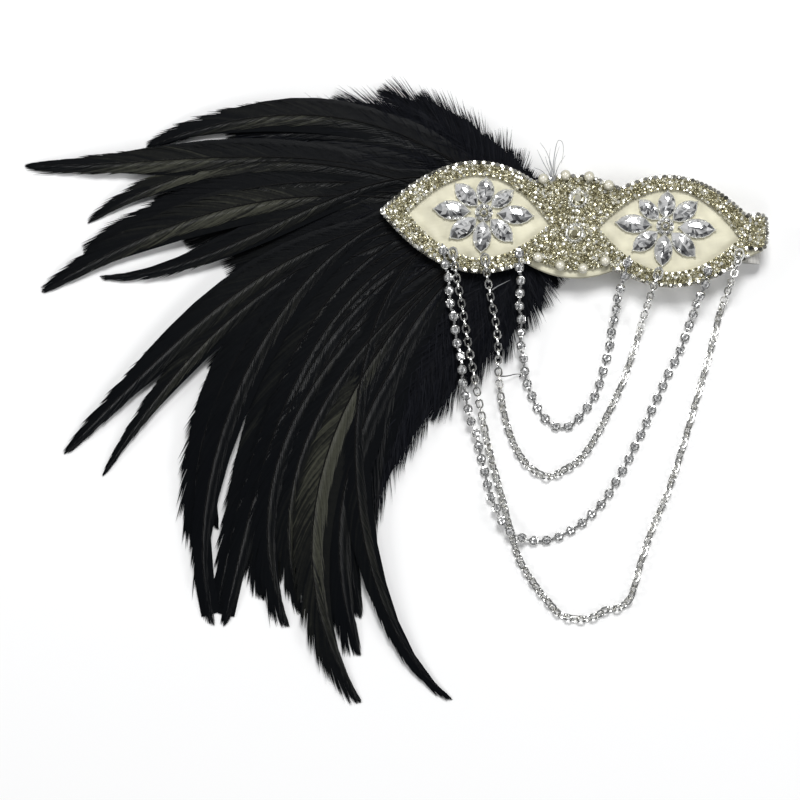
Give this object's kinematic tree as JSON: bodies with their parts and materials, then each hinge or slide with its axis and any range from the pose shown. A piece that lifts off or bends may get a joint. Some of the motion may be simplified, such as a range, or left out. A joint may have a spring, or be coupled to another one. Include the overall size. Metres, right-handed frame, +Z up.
{
  "type": "feather headband",
  "caption": "Jewelled satin headband panel on an elastic strap, with a sweeping plume of black feathers and swags of chain.",
  "frame": {"origin": "on the floor under the middle of the panel, on the underside of the elastic strap", "axes": "+Z up out of the jewelled face, +X along the panel towards the end without feathers, +Y towards the upper edge"},
  "size_m": [0.3993, 0.3306, 0.0239],
  "materials": {
    "elastic": "woven elastic",
    "felt": "felt",
    "satin": "satin",
    "crust": "small stones and seed beads in metal settings",
    "crystal": "foiled crystal in a silver rim",
    "pearl": "pearl lustre",
    "stone_chain": "plated cups with clear stones",
    "silver": "bright plating",
    "feather": "black feather with a faint olive and blue sheen"
  },
  "bodies": {
    "root": {"strap": "elastic", "backing": "felt", "satin_front": "satin", "border_left": "crust", "border_right": "crust", "centre_crust": "crust", "end_tab": "crust", "petal_left_1": "crystal", "petal_left_2": "crystal", "petal_left_3": "crystal", "petal_left_4": "crystal", "petal_left_5": "crystal", "petal_left_6": "crystal", "petal_left_7": "crystal", "petal_left_8": "crystal", "flower_centre_left": "crystal", "petal_right_1": "crystal", "petal_right_2": "crystal", "petal_right_3": "crystal", "petal_right_4": "crystal", "petal_right_5": "crystal", "petal_right_6": "crystal", "petal_right_7": "crystal", "petal_right_8": "crystal", "flower_centre_right": "crystal", "pearl_1": "pearl", "pearl_2": "pearl", "pearl_3": "pearl", "pearl_4": "pearl", "pearl_5": "pearl", "pearl_6": "pearl", "pearl_7": "pearl", "pearl_8": "pearl", "medallion_upper": "crystal", "medallion_lower": "crystal", "cup_chain_long": "stone_chain", "cup_chain_short": "stone_chain", "link_chain_long": "silver", "link_chain_middle": "silver", "plume": "feather"}
  },
  "joints": []
}
